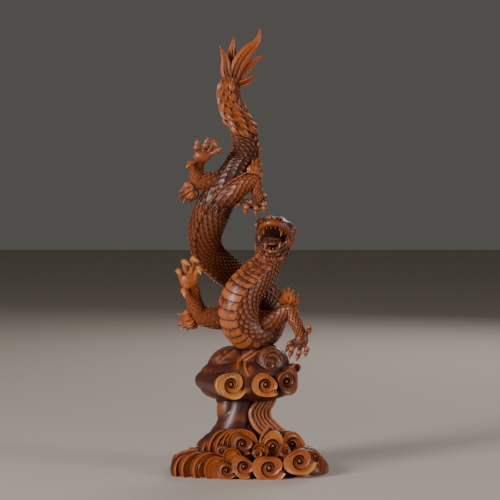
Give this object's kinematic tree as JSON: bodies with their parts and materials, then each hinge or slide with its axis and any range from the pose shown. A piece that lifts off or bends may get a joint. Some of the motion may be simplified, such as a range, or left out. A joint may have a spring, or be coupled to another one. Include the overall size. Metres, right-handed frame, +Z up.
{
  "type": "dragon sculpture",
  "caption": "Carved boxwood dragon coming down head first in an S onto a plinth of rolling clouds, tail of flames up.",
  "frame": {"origin": "on the floor under the middle of the cloud base: the middle of the bounding box in X and Y, at its bottom", "axes": "+Z up from the base to the tail flames; the front, where the dragon's face and the carved scrolls look, faces -Y; +X is the viewer's right"},
  "size_m": [0.0764, 0.06, 0.21],
  "materials": {
    "boxwood": "red-brown stain rubbed through to honey on the raised edges, waxed to a soft gloss"
  },
  "bodies": {
    "root": {"dragon_carving": "boxwood"}
  },
  "joints": []
}
